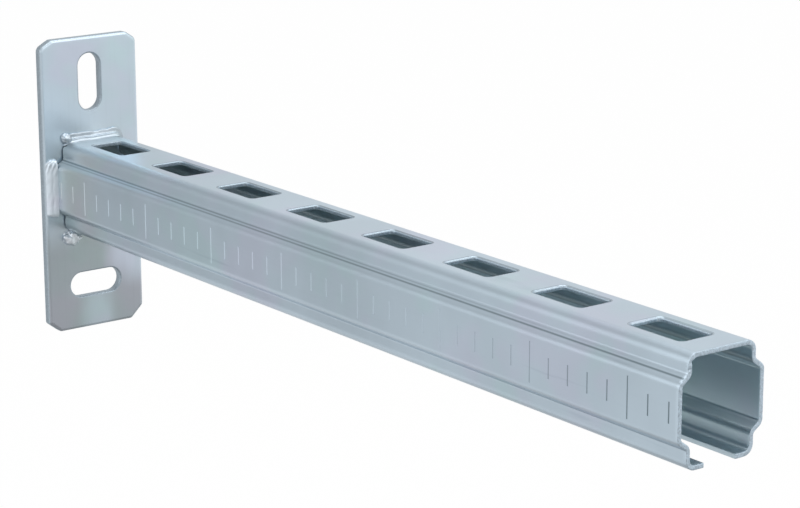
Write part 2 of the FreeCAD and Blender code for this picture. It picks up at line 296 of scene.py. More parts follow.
# Camera of the photograph
CAMERA_PLACE = (0.98474, -0.56475, 0.26113)
CAMERA_RIGHT = (0.59994185, 0.80003991, -0.00243188)
CAMERA_UP = (-0.20119605, 0.15381549, 0.96739906)
CAMERA_BACK = (0.77433192, -0.57989390, 0.25324522)
LENS_MM = 117.257
SENSOR_MM = 36.0
CLIP = (0.05, 200.0)

# Surround that the metal reflects, by the direction that a reflection looks in: each range of x, y or z
# is where a tone begins and where it is full
SURROUND = 0.88
WALL_X = (-0.64, -0.88)
WALL_Y = (0.15, -0.15)
WALL_ABOVE = (0.72, 0.42)
WALL_BELOW = (-0.44, -0.30)
WALL_DIM = -0.44
FAR_X = (-0.80, -0.86)
FAR_TONE = 0.64
GROUND_Z = (-0.30, -0.20)
GROUND_TONE = 0.50
HIGH_Z = (0.35, 0.60)
HIGH_TONE = 0.76

# How much the edge of the ground tone drops behind, beside and before the arm
BEHIND_X = (-0.2, 0.4)
BEHIND_DROP = (0.5, 0.0)
BESIDE_Y = (0.38, 0.62)
BESIDE_DROP = (-0.06, 0.14)
BEFORE_Y = (-0.40, -0.65)
BEFORE_DROP = (0.0, 0.16)

# Soft boxes: place, what they aim at, size in metres and how bright their face looks, where 1 is white
ARM_MIDDLE = (0.2, 0.0, 0.0)
JOINT = (0.0, 0.0, 0.0)
SOFT_BOXES = {
    "side_box": ((-0.4, -2.4, 0.9), ARM_MIDDLE, (2.4, 1.8), 0.88),
    "top_box": ((0.1, 0.3, 2.4), ARM_MIDDLE, (2.4, 2.4), 1.6),
    "front_box": ((2.1, 1.2, 1.3), ARM_MIDDLE, (1.8, 1.2), 1.3),
    "rim_box": ((0.45, 1.3, 1.75), JOINT, (0.9, 0.7), 0.85),
}

# Floor, well below the arm, as the plate holds it clear of the ground
FLOOR_LEVEL = -0.65
FLOOR_REACH = 30.0
FLOOR_SIDES = 48
FLOOR_COLOUR = (0.90, 0.90, 0.90)
FLOOR_ROUGHNESS = 0.9
FLOOR_GLOW = 0.98

# Meshing: the kind of triangulation that keeps what lies inside a border, the distances within which
# points are one, and the angles in degrees beyond which an edge is sharp
INSIDE_TRIANGLES = 1
SHEET_TOLERANCE = 1e-9
MERGE_DISTANCE = 1e-7
PLATE_SHARP = 40.0
CHANNEL_SHARP = 30.0
WELD_SHARP = 75.0

ALONG_X = Vector((1, 0, 0))
ALONG_Y = Vector((0, 1, 0))
ALONG_Z = Vector((0, 0, 1))


def waver(place, size, seed=0.0):
    """Smooth noise from -1 to 1 whose features are about one size across."""
    return noise.noise(Vector(place) / size + Vector((seed, 2.3 * seed, 5.1 * seed)))


class Skin:
    """Vertices and faces gathered before they become a mesh. Each vertex says how far it is cut metal,
    how much painted shade darkens it and whether it is inside the channel."""

    def __init__(self):
        self.points = []
        self.faces = []
        self.marks = {"cut": [], "crease": [], "inner": []}

    def ring(self, points, **marks):
        """Indices of a row of new vertices. A mark is one number for the row or a list of them."""
        first = len(self.points)
        self.points += [Vector(point) for point in points]
        count = len(self.points) - first
        for label, values in self.marks.items():
            mark = marks.get(label, 0.0)
            values += mark if isinstance(mark, list) else [mark] * count
        return list(range(first, first + count))

    def bridge(self, first, second, closed=True, skip=()):
        """Quads between two rows of equal count."""
        count = len(first)
        for i in range(count if closed else count - 1):
            j = (i + 1) % count
            if i not in skip:
                self.faces.append((first[i], first[j], second[j], second[i]))

    def chain(self, rings):
        """Quads between each closed row and the next."""
        for first, second in zip(rings, rings[1:]):
            self.bridge(first, second)

    def sheet(self, border, holes, across, up):
        """Flat triangles inside a border, less its convex holes, in the plane of two axes."""
        loops = [border] + holes
        order = [index for loop in loops for index in loop]
        owner = [number for number, loop in enumerate(loops) for _ in loop]
        flat = [Vector((self.points[i].dot(across), self.points[i].dot(up))) for i in order]
        edges = []
        for loop in loops:
            start = len(edges)
            edges += [(start + i, start + (i + 1) % len(loop)) for i in range(len(loop))]
        made = delaunay_2d_cdt(flat, edges, [], INSIDE_TRIANGLES, SHEET_TOLERANCE)
        faces, origins = made[2:4]
        for face in faces:
            ids = [origins[i][0] for i in face]
            owners = {owner[i] for i in ids}
            if len(owners) > 1 or owners == {0}:
                self.faces.append(tuple(order[i] for i in ids))

    def piece(self, name, material, sharp=PLATE_SHARP):
        """Object with merged vertices, faces turned outward and weighted normals."""
        mesh = bpy.data.meshes.new(name)
        mesh.from_pydata(self.points, [], self.faces)
        for label, values in self.marks.items():
            layer = mesh.attributes.new(label, "FLOAT", "POINT")
            layer.data.foreach_set("value", np.array(values, np.float32))
        work = bmesh.new()
        work.from_mesh(mesh)
        loose = [vertex for vertex in work.verts if not vertex.link_faces]
        bmesh.ops.delete(work, geom=loose, context="VERTS")
        bmesh.ops.remove_doubles(work, verts=work.verts, dist=MERGE_DISTANCE)
        bmesh.ops.recalc_face_normals(work, faces=work.faces)
        work.to_mesh(mesh)
        work.free()
        mesh.shade_smooth()
        mesh.set_sharp_from_angle(angle=math.radians(sharp))
        mesh.materials.append(material)
        made = bpy.data.objects.new(name, mesh)
        bpy.context.scene.collection.objects.link(made)
        weighted = made.modifiers.new("weighted", "WEIGHTED_NORMAL")
        weighted.keep_sharp = True
        weighted.weight = 100
        return made


def finish_piece(made, node):
    """The piece stands for a node of the frame and rides with it."""
    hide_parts(node)
    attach(made, "root")


# Outlines in a plane


def spun(vector, angle):
    """A plane vector turned to its left."""
    c, s = math.cos(angle), math.sin(angle)
    return np.array((c * vector[0] - s * vector[1], s * vector[0] + c * vector[1]))


def rounded_line(corners, radii, closed, step=None):
    """Points and left normals along a line with rounded corners, and each straight's first and last row.
    A radius is measured on the line itself."""
    corners = [np.array(corner, float) for corner in corners]
    if closed:
        start = (corners[0] + corners[1]) / 2
        corners = [start] + corners[1:] + corners[:1] + [start]
    rows = []
    straights = []
    here = corners[0]
    for k in range(1, len(corners)):
        along = corners[k] - corners[k - 1]
        along /= np.linalg.norm(along)
        left = spun(along, math.pi / 2)
        end = corners[k]
        if k < len(corners) - 1:
            after = corners[k + 1] - corners[k]
            after /= np.linalg.norm(after)
            turn = math.atan2(along[0] * after[1] - along[1] * after[0], float(along @ after))
            end = corners[k] - along * radii[k - 1] * math.tan(abs(turn) / 2)
        count = max(1, math.ceil(np.linalg.norm(end - here) / step)) if step else 1
        if not rows:
            rows.append((here, left))
        first = len(rows) - 1
        rows += [(here + (end - here) * i / count, left) for i in range(1, count + 1)]
        straights.append((first, len(rows) - 1))
        if k < len(corners) - 1:
            centre = end + left * math.copysign(radii[k - 1], turn)
            parts = max(ARC_PARTS, math.ceil(abs(turn) / ARC_STEP))
            arm = end - centre
            rows += [
                (centre + spun(arm, turn * i / parts), spun(left, turn * i / parts))
                for i in range(1, parts + 1)
            ]
            here = rows[-1][0]
    return (rows[:-1] if closed else rows), straights


def round_box(across, up, length, width, radius, parts=5):
    """Rectangle with round corners about a point, counterclockwise."""
    points = []
    for quarter, (sx, sy) in enumerate(((1, 1), (-1, 1), (-1, -1), (1, -1))):
        cx = across + sx * (length / 2 - radius)
        cy = up + sy * (width / 2 - radius)
        for i in range(parts + 1):
            angle = math.radians(90 * (quarter + i / parts))
            points.append((cx + radius * math.cos(angle), cy + radius * math.sin(angle)))
    return points


def quarter_roll(width, depth, parts=4):
    """Steps of a rolled-over rim: how far back from the hole, and how far below the face."""
    angles = [math.radians(90 * i / parts) for i in range(parts + 1)]
    return [(width * (1 - math.sin(a)), depth * (1 - math.cos(a))) for a in angles]


# Channel


def section_rows():
    """The channel's outer line from the near lip's end, over the web, to the far lip's end."""
    near = [
        (-LIP_END - CUT_EASING, LIP_BOTTOM), (-NECK, LIP_BOTTOM), (-NECK, LOWER_NECK_END),
        (-SIDE, LOWER_SIDE_END), (-SIDE, UPPER_SIDE_END), (-NECK, UPPER_NECK_END), (-NECK, WEB_TOP),
    ]
    far = [(-across, up) for across, up in reversed(near)]
    radii = [CORNER_BEND, STEP_ROOT, STEP_BEND, STEP_BEND, STEP_ROOT, CORNER_BEND]
    return rounded_line(near + far, radii + radii[::-1], False, SECTION_STEP)


def lip_turn(row, ahead, rest):
    """Points round the sheet's slit edge, from its outer side to its inner side."""
    point, normal = row
    points = []
    for core, facing in ((CUT_EASING, 1), (SHEET - CUT_EASING, -1)):
        for angle in map(math.radians, EDGE_ANGLES[::facing]):
            reach = normal * facing * math.cos(angle) + ahead * math.sin(angle)
            points.append(point - normal * core + reach * rest)
    return points


def section_loop(rows, inset):
    """Closed outline of the sheet, drawn in all round by an inset."""
    outer = [point - normal * inset for point, normal in rows]
    inner = [point - normal * (SHEET - inset) for point, normal in rows]
    rest = CUT_EASING - inset
    far = lip_turn(rows[-1], np.array((-1.0, 0.0)), rest)
    near = lip_turn(rows[0], np.array((1.0, 0.0)), rest)
    return outer + far + inner[::-1] + near[::-1]


def burr_share(point):
    """How strongly the tip's torn corner shows at a point of the section, from 0 to 1."""
    apart = math.hypot(point[0] - BURR_PLACE[0], point[1] - BURR_PLACE[1])
    return math.exp(-(apart / BURR_SIZE) ** 2)


def end_shift(point, at_tip):
    """How far the cut end stands back or forward at a point of the section."""
    place = (point[0], point[1], 0.0)
    if at_tip:
        torn = BURR_DEPTH * burr_share(point) * max(waver(place, QUICK_JAG, 4) + BURR_SPREAD, 0.0)
        return TIP_JAG * (waver(place, TIP_JAG_SIZE, 3) - 1) - torn
    slow = waver(place, SLOW_JAG, 1)
    quick = waver(place, QUICK_JAG, 2)
    aside = (abs(point[0]) - HOLLOW_PLACE[0]) / HOLLOW_SIZE[0]
    above = (abs(point[1]) - HOLLOW_PLACE[1]) / HOLLOW_SIZE[1]
    hollow = WALL_HOLLOW * math.exp(-aside**2 - above**2)
    return WALL_GAP + WALL_JAG * (SLOW_SHARE * slow + (1 - SLOW_SHARE) * quick) + hollow


def share_out(place):
    """How far out along the arm a place is, from 0 at the plate to 1 at the tip."""
    return (place - PLATE_FACE) / (ARM_TIP - PLATE_FACE)


def groove_shade(share):
    """How much painted shade darkens a mark's bottom: none in the half near the plate, more and more
    towards the tip.
    """
    if share < GROOVE_SHADE_START:
        return 0.0
    return GROOVE_SHADE_LEAST + GROOVE_SHADE_RISE * (share - GROOVE_SHADE_START) ** 2


def roll_creases(rows, place):
    """How much painted shade each row of the section gets from the dark lines painted along the steps'
    bends.
    """
    creases = []
    for point, _ in rows:
        share = 0.0
        for level, lines, rising in (
            (UPPER_NECK_END, UPPER_SHADE_LINES, 1), (LOWER_NECK_END, LOWER_SHADE_LINES, -1),
        ):
            beyond = math.hypot(abs(point[0]) - NECK, point[1] - level)
            if abs(point[0]) < NECK or (point[1] - level) * rising > 0:
                beyond = -beyond
            for line, near, far in lines:
                depth = near + (far - near) * share_out(place)
                share = max(share, depth * (1 - abs(beyond - line) / SHADE_LINE_WIDTH))
        creases.append(share)
    return creases


def inner_shades(rows, place):
    """How much painted shade each inner point of the section gets: more towards the wall, with a painted
    shadow line at the bend.
    """
    dim = INNER_SHADE * (1 - share_out(place) ** 3)
    shades = []
    for point, _ in rows:
        apart = math.hypot(abs(point[0]) - NECK, point[1] - UPPER_NECK_END)
        shades.append(max(dim, INNER_LINE * (1 - apart / INNER_LINE_WIDTH)))
    return [dim] * LIP_POINTS + shades[::-1] + [dim] * LIP_POINTS


def section_ring(skin, rows, place, inset, end=None):
    """Row of vertices round the section at a place along the arm."""
    loop = section_loop(rows, inset)
    shifts = [end_shift(point, end == "tip") if end else 0.0 for point in loop]
    points = [(place + shift, point[0], point[1]) for point, shift in zip(loop, shifts)]
    # Painted shade along the steps' bends outside, and through the inside
    creases = roll_creases(rows, place) + inner_shades(rows, place)
    inner = [0.0] * len(rows) + [1.0] * (len(loop) - len(rows))
    cut = 1.0 if end and inset > 0 else 0.0
    if end == "tip" and inset == 0:
        cut = [burr_share(point) for point in loop]
    return skin.ring(points, cut=cut, crease=creases, inner=inner)


def close_end(skin, rows, ring, place, at_tip):
    """Rough cut face between the outer and the inner side of a ring."""
    count = len(rows)
    inner = ring[count + LIP_POINTS:2 * count + LIP_POINTS][::-1]
    previous = ring[:count]
    for line in range(1, END_LINES + 1):
        depth = CUT_EASING + (SHEET - 2 * CUT_EASING) * line / (END_LINES + 1)
        points = []
        for point, normal in rows:
            spot = point - normal * depth
            points.append((place + end_shift(spot, at_tip), spot[0], spot[1]))
        current = skin.ring(points, cut=1.0)
        skin.bridge(previous, current, closed=False)
        previous = current
    skin.bridge(previous, inner, closed=False)


def web_slot(skin, middle):
    """Punched slot: its outer rim row and its inner rim row."""
    roll = SLOT_ROLLS[0] + (SLOT_ROLLS[1] - SLOT_ROLLS[0]) * share_out(middle)
    levels = [(WEB_TOP, roll + SLOT_LINE)]
    levels += [(WEB_TOP - depth, back) for back, depth in quarter_roll(roll, roll)]
    levels.append((WEB_TOP - SLOT_SHEARED * SHEET, 0.0))
    levels.append((WEB_TOP - SHEET + SLOT_BREAK, SLOT_BREAK_START * SLOT_BREAK))
    levels.append((WEB_TOP - SHEET, SLOT_BREAK))
    rings = []
    for number, (level, back) in enumerate(levels):
        outline = round_box(
            middle, 0.0, SLOT_LENGTH + 2 * back, SLOT_WIDTH + 2 * back, SLOT_CORNER + back
        )
        deepest = number == len(levels) - 1
        inside = number >= SLOT_PLATED_ROWS and not deepest
        # Painted shade on the rim rows
        crease = SLOT_RIM_SHADES[number] if number < len(SLOT_RIM_SHADES) else 0.0
        crease *= 1 - SLOT_SHADE_FADE * share_out(middle)
        points = [(x, y, level) for x, y in outline]
        rings.append(skin.ring(points, cut=float(inside), crease=crease, inner=float(deepest)))
    skin.chain(rings)
    return rings[0], rings[-1]


def graduation_mark(skin, middle, height):
    """Mark cut into the near side with a V-shaped chisel: its rim row."""
    half = MARK_WIDTH / 2
    tall = height / 2
    # Painted shade in the groove's bottom
    groove_darkening = groove_shade(share_out(middle))
    rings = []
    for share in (0.0, MARK_BORDER):
        x, z = half * (1 - share), tall - half * share
        corners = ((x, z), (-x, z), (-x, -z), (x, -z))
        points = [(middle + x, -SIDE + MARK_DEPTH * share, z) for x, z in corners]
        rings.append(skin.ring(points, crease=groove_darkening if share else 0.0))
    skin.chain(rings)
    ends = [(middle, -SIDE + MARK_DEPTH, up) for up in (tall - half, half - tall)]
    bottom = skin.ring(ends, crease=groove_darkening)
    rim, low = rings
    skin.faces += [
        (low[0], low[1], bottom[0]), (low[1], low[2], bottom[1], bottom[0]),
        (low[2], low[3], bottom[1]), (low[3], low[0], bottom[0], bottom[1]),
    ]
    return rim


def flat_border(rings, first, last):
    """Vertices round a flat stretch of the section, from the first ring to the last."""
    low = [ring[first] for ring in rings]
    high = [ring[last] for ring in rings]
    start = rings[0][first:last + 1]
    stop = rings[-1][first:last + 1]
    return start + high[1:] + stop[-2::-1] + low[-2:0:-1]


def make_channel(material):
    """Stepped channel with punched web slots, pressed marks and sheared ends."""
    skin = Skin()
    rows, straights = section_rows()
    side_flat = straights[SIDE_STRAIGHT]
    web_flat = straights[WEB_STRAIGHT]
    count = len(rows)
    under = tuple(2 * count + LIP_POINTS - 1 - row for row in reversed(web_flat))
    steps = round((ARM_TIP - PLATE_FACE) / ALONG_STEP)
    places = np.linspace(PLATE_FACE + WALL_REACH, ARM_TIP - TIP_REACH, steps + 1)
    body = [section_ring(skin, rows, place, 0.0) for place in places]
    flats = [side_flat, web_flat, under]
    skip = {i for first, last in flats for i in range(first, last)}
    for first, second in zip(body, body[1:]):
        skin.bridge(first, second, skip=skip)
    for at_tip, ring in ((False, body[0]), (True, body[-1])):
        for share in EASING_STEPS:
            reach = CUT_EASING * math.sqrt(1 - (1 - share) ** 2)
            place = ARM_TIP - CUT_EASING + reach if at_tip else PLATE_FACE + CUT_EASING - reach
            after = section_ring(skin, rows, place, share * CUT_EASING, "tip" if at_tip else "wall")
            skin.bridge(ring, after)
            ring = after
        close_end(skin, rows, ring, ARM_TIP if at_tip else PLATE_FACE, at_tip)
    slots = [web_slot(skin, SLOT_FIRST + number * SLOT_PITCH) for number in range(SLOT_COUNT)]
    marks = []
    for number in range(SLOT_COUNT):
        for mark in MARK_STEPS:
            middle = SLOT_FIRST + number * SLOT_PITCH + MARK_SHIFT + mark * MARK_SPACING
            marks.append(graduation_mark(skin, middle, SHORT_MARK if mark else LONG_MARK))
    skin.sheet(flat_border(body, *web_flat), [top for top, _ in slots], ALONG_X, ALONG_Y)
    skin.sheet(flat_border(body, *under), [bottom for _, bottom in slots], ALONG_X, ALONG_Y)
    skin.sheet(flat_border(body, *side_flat), marks, ALONG_X, ALONG_Z)
    finish_piece(skin.piece("zinc_channel", material, CHANNEL_SHARP), "channel")


# Wall plate


def plate_outline():
    """Rounded outline of the plate with its cut corners, counterclockwise from +X, and its left normals."""
    wide = PLATE_HIGH.y
    top = PLATE_HIGH.z
    bottom = PLATE_LOW.z
    top_far, top_near = TOP_CUTS
    low_far, low_near = BOTTOM_CUTS
    corners = [
        (wide, bottom + low_far[1]), (wide, top - top_far[1]), (wide - top_far[0], top),
        (-wide + top_near[0], top), (-wide, top - top_near[1]), (-wide, bottom + low_near[1]),
        (-wide + low_near[0], bottom), (wide - low_far[0], bottom),
    ]
    return rounded_line(corners, [TOP_ROUND] * 4 + [BOTTOM_ROUND] * 4, True)[0]


def fixing_slot(skin, level, upright):
    """Round-ended slot through the plate: its front row and its back row."""
    length, width = (FIXING_WIDTH, FIXING_LENGTH) if upright else (FIXING_LENGTH, FIXING_WIDTH)
    thickness = PLATE_FACE - PLATE_LOW.x
    levels = [(PLATE_FACE - depth, back) for back, depth in quarter_roll(*FIXING_ROLL)]
    levels.append((PLATE_FACE - FIXING_MIDDLE * thickness, 0.0))
    levels.append((PLATE_LOW.x + BACK_EASING, FIXING_BACK_START * BACK_EASING))
    levels.append((PLATE_LOW.x, BACK_EASING))
    rings = []
    for number, (place, back) in enumerate(levels):
        radius = FIXING_WIDTH / 2 + back
        outline = round_box(0.0, level, length + 2 * back, width + 2 * back, radius, FIXING_PARTS)
        inside = FIXING_PLATED_ROWS <= number < len(levels) - 1
        rings.append(skin.ring([(place, y, z) for y, z in outline], cut=float(inside)))
    skin.chain(rings)
    return rings[0], rings[-1]


def make_plate(material):
    """Sheared flat bar with a rolled-over front edge and two fixing slots."""
    skin = Skin()
    outline = plate_outline()
    thickness = PLATE_FACE - PLATE_LOW.x
    levels = [(PLATE_FACE - depth, back) for back, depth in quarter_roll(*PLATE_ROLL)]
    levels.append((PLATE_FACE - PLATE_MIDDLE * thickness, 0.0))
    levels.append((PLATE_LOW.x + BACK_EASING, 0.0))
    levels.append((PLATE_LOW.x, BACK_EASING))
    rings = []
    for number, (place, back) in enumerate(levels):
        inside = PLATE_PLATED_ROWS <= number < len(levels) - 1
        points = [point + normal * back for point, normal in outline]
        rings.append(skin.ring([(place, y, z) for y, z in points], cut=float(inside)))
    skin.chain(rings)
    slots = [fixing_slot(skin, FIXING_LEVEL, True), fixing_slot(skin, -FIXING_LEVEL, False)]
    skin.sheet(rings[0], [front for front, _ in slots], ALONG_Y, ALONG_Z)
    skin.sheet(rings[-1], [back for _, back in slots], ALONG_Y, ALONG_Z)
    finish_piece(skin.piece("zinc_plate", material), "wall_plate")


# Welds


def web_drop(aside):
    """How far the channel's outer skin has curved down from the web at a distance from the middle."""
    beyond = min(max(abs(aside) - (NECK - CORNER_BEND), 0.0), DROP_LIMIT * CORNER_BEND)
    return CORNER_BEND - math.sqrt(CORNER_BEND**2 - beyond**2)


def bead_reach(bead, angle, travelled, seed):
    """Distance of a bead's skin from the joint's root, in legs, at an angle in degrees up from the arm."""
    turned = math.radians(angle)
    chord = 1 / (math.cos(turned) + math.sin(turned))
    wander = RIDGE_WANDER * waver((travelled, 0.0, 0.0), WANDER_SIZE, seed + 3)
    reach = CHORD_SHARE * chord + bead.full
    for ridge, height, width in bead.ridges:
        fade = 1 + RIDGE_FADE * waver((travelled, ridge * MM, 0.0), FADE_SIZE, seed + 5)
        reach += height * fade * math.exp(-(((angle - ridge - wander) / width) ** 2))
    place = (travelled, turned * bead.leg[1], 0.0)
    reach += bead.lump * waver(place, LUMP_SIZE, seed)
    rope = math.sin(2 * math.pi * (angle / ROPE_TURN - travelled / ROPE_PITCH))
    return reach + bead.strand * rope * math.exp(-((travelled / ROPE_REACH) ** 2))


def add_bead(skin, corner, wall, bead, seed):
    """Fillet bead along a joint, whose root at a place on it is given by corner."""
    start, stop = bead.run
    span = abs(stop - start)
    stations = max(BEAD_LEAST_ROWS, round(span / BEAD_STEP))
    cap = BEAD_CAP * bead.leg[0]
    rows = []
    for i in range(stations + 1):
        travelled = span * i / stations
        size = 1.0
        for reach in (travelled, span - travelled):
            if reach < cap:
                size *= math.sqrt(max(1 - (1 - reach / cap) ** 2, 0.0))
        root = corner(start + (stop - start) * i / stations)
        points = []
        for j in range(BEAD_TURNS + 1):
            angle = 90 * j / BEAD_TURNS
            bulge = size * bead_reach(bead, angle, travelled, seed)
            turned = math.radians(angle)
            points.append(root + ALONG_X * (bead.leg[0] * bulge * math.cos(turned))
                          + wall * (bead.leg[1] * bulge * math.sin(turned)))
        rows.append(skin.ring(points + [root]))
    skin.chain(rows)
    for row in (rows[0], rows[-1]):
        skin.faces.append(tuple(row))


def add_dab(skin, dab, seed):
    """Lumpy half ball of weld metal on the plate."""
    middle = Vector((PLATE_FACE, dab.aside, dab.level))
    deep, wide, tall = dab.size
    rows = []
    for lean in range(0, 91, DAB_LEAN):
        out = math.radians(lean)
        points = []
        for number in range(DAB_TURNS):
            turned = 2 * math.pi * number / DAB_TURNS
            arm = Vector((
                deep * math.sin(out), wide * math.cos(out) * math.cos(turned),
                tall * math.cos(out) * math.sin(turned),
            ))
            coarse = dab.lump * waver(arm, DAB_LUMP_SIZE, seed)
            fine = DAB_FINE_LUMP * dab.lump * waver(arm, DAB_LUMP_SIZE / 2, seed + 1)
            points.append(middle + arm * (1 + coarse + fine))
        rows.append(skin.ring(points))
    skin.chain(rows)
    skin.faces.append(tuple(rows[0]))


def finish_weld(skin, name, node, material):
    """The weld metal as a piece."""
    finish_piece(skin.piece(name, material, WELD_SHARP), node)


def make_welds(darker_copy, lighter_copy, palest_copy):
    """Bead over the web with a dab at its start, a bead down each side and a tack at each lower corner."""
    def over_web(place):
        return Vector((PLATE_FACE, place, WEB_TOP - WEB_SEAT * web_drop(place)))

    skin = Skin()
    add_bead(skin, over_web, ALONG_Z, TOP_BEAD, TOP_SEED)
    add_dab(skin, TOP_DAB, DAB_SEED)
    finish_weld(skin, "bead_top", "weld_top", darker_copy)
    for (side, facing), seed in zip(SIDES, SIDE_SEEDS):
        def down_side(place, facing=facing):
            return Vector((PLATE_FACE, facing * SIDE, place))

        skin = Skin()
        add_bead(skin, down_side, ALONG_Y * facing, SIDE_BEAD, seed)
        finish_weld(skin, "bead_side_" + side, "weld_side_" + side, lighter_copy)
    for (side, facing), seed in zip(SIDES, TACK_SEEDS):
        skin = Skin()
        add_dab(skin, TACK._replace(aside=facing * TACK.aside), seed)
        finish_weld(skin, "tack_" + side, "weld_tack_" + side, palest_copy)


# Materials


def wire(tree, kind, inputs=None, **settings):
    """New node with its settings and inputs. A socket given as an input is linked."""
    made = tree.nodes.new(kind)
    for key, value in settings.items():
        setattr(made, key, value)
    for key, value in (inputs or {}).items():
        if isinstance(value, bpy.types.NodeSocket):
            tree.links.new(value, made.inputs[key])
        else:
            made.inputs[key].default_value = value
    return made


def cloud(tree, coords, kind):
    """Socket of a noise over stretched object coordinates."""
    mapped = wire(tree, "ShaderNodeMapping", {0: coords, 1: (kind.shift,) * 3, 3: kind.stretch})
    noisy = wire(tree, "ShaderNodeTexNoise",
                 {0: mapped.outputs[0], "Scale": kind.scale, "Detail": kind.detail})
    return noisy.outputs["Fac"]


def ramp(tree, value, low, high, to_low=0.0, to_high=1.0):
    """Value mapped from one range to another, held at its ends."""
    made = wire(tree, "ShaderNodeMapRange",
                {0: value, 1: low, 2: high, 3: to_low, 4: to_high}, interpolation_type="SMOOTHSTEP")
    return made.outputs[0]


def blend(tree, share, first, second):
    """Colour between two."""
    made = tree.nodes.new("ShaderNodeMix")
    made.data_type = "RGBA"
    for key, value in ((0, share), (6, first), (7, second)):
        if isinstance(value, bpy.types.NodeSocket):
            tree.links.new(value, made.inputs[key])
        else:
            made.inputs[key].default_value = value if key == 0 else (*value, 1.0)
    return made.outputs[2]


def tint(base, shade):
    """Colour with all its channels scaled by one number, or each by its own."""
    shares = shade if isinstance(shade, tuple) else (shade,) * 3
    return tuple(min(channel * share, 1.0) for channel, share in zip(base, shares))


def scaled(tree, share, colour, factors):
    """Colour multiplied by factors, as far as the share says."""
    made = tree.nodes.new("ShaderNodeMix")
    made.data_type = "RGBA"
    made.blend_type = "MULTIPLY"
    tree.links.new(share, made.inputs[0])
    tree.links.new(colour, made.inputs[6])
    made.inputs[7].default_value = (*factors, 1.0)
    return made.outputs[2]


def darker_lower_plate(tree, coords, colour, base):
    """Darker, greyer tone over the lower plate, with lighter spots that fade into it."""
    height = wire(tree, "ShaderNodeSeparateXYZ", {0: coords}).outputs["Z"]
    drift = cloud(tree, coords, LOWER_DRIFT)
    edge = wire(tree, "ShaderNodeMath", {0: drift, 1: LOWER_EDGE_WAVER, 2: height}, operation="MULTIPLY_ADD")
    darkening = ramp(tree, edge.outputs[0], *LOWER_EDGE)
    for middle, aside, upward, least in LIGHTER_SPOTS:
        offset = wire(tree, "ShaderNodeVectorMath", {0: coords, 1: middle}, operation="SUBTRACT")
        shrunk = wire(tree, "ShaderNodeVectorMath", {0: offset.outputs[0], 1: (0, 1 / aside, 1 / upward)},
                      operation="MULTIPLY")
        apart = wire(tree, "ShaderNodeVectorMath", {0: shrunk.outputs[0]}, operation="LENGTH")
        away = wire(tree, "ShaderNodeMath", {0: drift, 1: SPOT_WAVER, 2: apart.outputs["Value"]},
                    operation="MULTIPLY_ADD")
        kept = ramp(tree, away.outputs[0], *SPOT_EDGE, least, 1.0)
        darkening = wire(tree, "ShaderNodeMath", {0: darkening, 1: kept}, operation="MULTIPLY").outputs[0]
    return blend(tree, darkening, colour, tint(base, LOWER_TONE))


def heated(tree, coords, colour, reach):
    """Duller, warmer zinc round the welded joint, full inside the smaller reach and gone at the larger."""
    joint = (PLATE_FACE, 0, 0)
    offset = wire(tree, "ShaderNodeVectorMath", {0: coords, 1: joint}, operation="SUBTRACT")
    apart = wire(tree, "ShaderNodeVectorMath", {0: offset.outputs[0]}, operation="LENGTH")
    return scaled(tree, ramp(tree, apart.outputs["Value"], *reach), colour, HEAT_SHADE)


def plated_colour(tree, coords, finish, inner, broad, streak):
    """Colour of the plating: its drift, darker lower plate, patches, rolling streaks, scuffs, painted light
    inside the channel and heated zone.
    """
    dark, light = (tint(finish.base, shade) for shade in DRIFT_SHADES)
    colour = blend(tree, ramp(tree, broad, *DRIFT_RANGE), dark, light)
    if finish.bloom:
        colour = darker_lower_plate(tree, coords, colour, finish.base)
    for kind, spread, shade in PATCHES:
        colour = scaled(tree, ramp(tree, cloud(tree, coords, kind), *spread), colour, shade)
    colour = scaled(tree, ramp(tree, streak, *STREAK_RANGE, 0.0, finish.streaks), colour, STREAK_SHADE)
    scuff = cloud(tree, coords, SCUFF)
    colour = scaled(tree, ramp(tree, scuff, *SCUFF_RANGE, 0.0, finish.scuffs), colour, SCUFF_SHADE)
    # Painted light: the inside of the channel lifted and greened
    colour = scaled(tree, inner, colour, INNER_TINT)
    if finish.heat:
        colour = heated(tree, coords, colour, finish.heat)
    return colour


def zinc_relief(tree, finish, cut, broad, streak, speck):
    """Normal with broad waves, rolling streaks and grit, which is coarser on a cut face."""
    waves = wire(tree, "ShaderNodeBump", {"Height": broad, "Strength": 1.0, "Distance": WAVE_HEIGHT})
    lines = wire(tree, "ShaderNodeBump", {
        "Height": streak, "Strength": FINE_STRENGTH, "Distance": STREAK_HEIGHT * finish.grain,
        "Normal": waves.outputs[0],
    })
    coarseness = ramp(tree, cut, 0.0, 1.0, GRIT_LEAST, finish.cut_grit)
    grit = wire(tree, "ShaderNodeMath", {0: speck, 1: coarseness}, operation="MULTIPLY")
    fine = wire(tree, "ShaderNodeBump", {
        "Height": grit.outputs[0], "Strength": FINE_STRENGTH, "Distance": GRIT_HEIGHT * finish.grain,
        "Normal": lines.outputs[0],
    })
    return fine.outputs[0]


